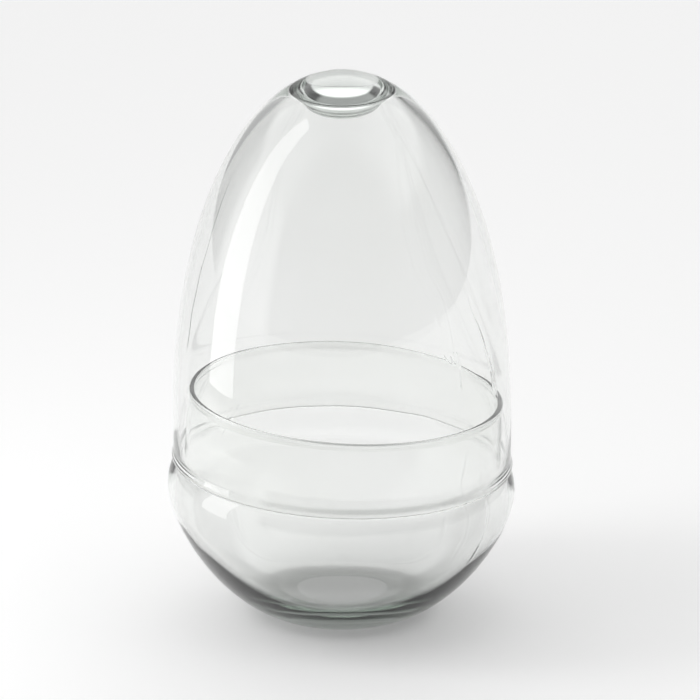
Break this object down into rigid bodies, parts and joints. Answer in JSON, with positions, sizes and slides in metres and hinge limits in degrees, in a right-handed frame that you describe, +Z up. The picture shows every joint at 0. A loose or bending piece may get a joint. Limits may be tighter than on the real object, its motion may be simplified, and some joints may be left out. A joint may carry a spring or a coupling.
{
  "type": "glass cloche",
  "caption": "Clear blown-glass plant cloche: an egg-shaped dome with a solid glass drop under its crown lifts off the shoulder of a collared bowl for soil.",
  "frame": {"origin": "centre of the bowl's foot, on the surface it stands on", "axes": "+Z up along the axis that the bowl and the dome are blown around; +X and +Y are arbitrary"},
  "size_m": [0.233, 0.233, 0.3765],
  "materials": {
    "bowl_glass": "clear blown glass, thick foot with a faint green tint",
    "dome_glass": "clear blown glass with a fire-polished rim"
  },
  "bodies": {
    "bowl": {"bowl": "bowl_glass"},
    "dome": {"dome": "dome_glass"}
  },
  "joints": [
    {"name": "dome_lift", "type": "slide", "parent": "bowl", "child": "dome", "axis": [0, 0, 1], "range_m": [0, 0.15]}
  ]
}
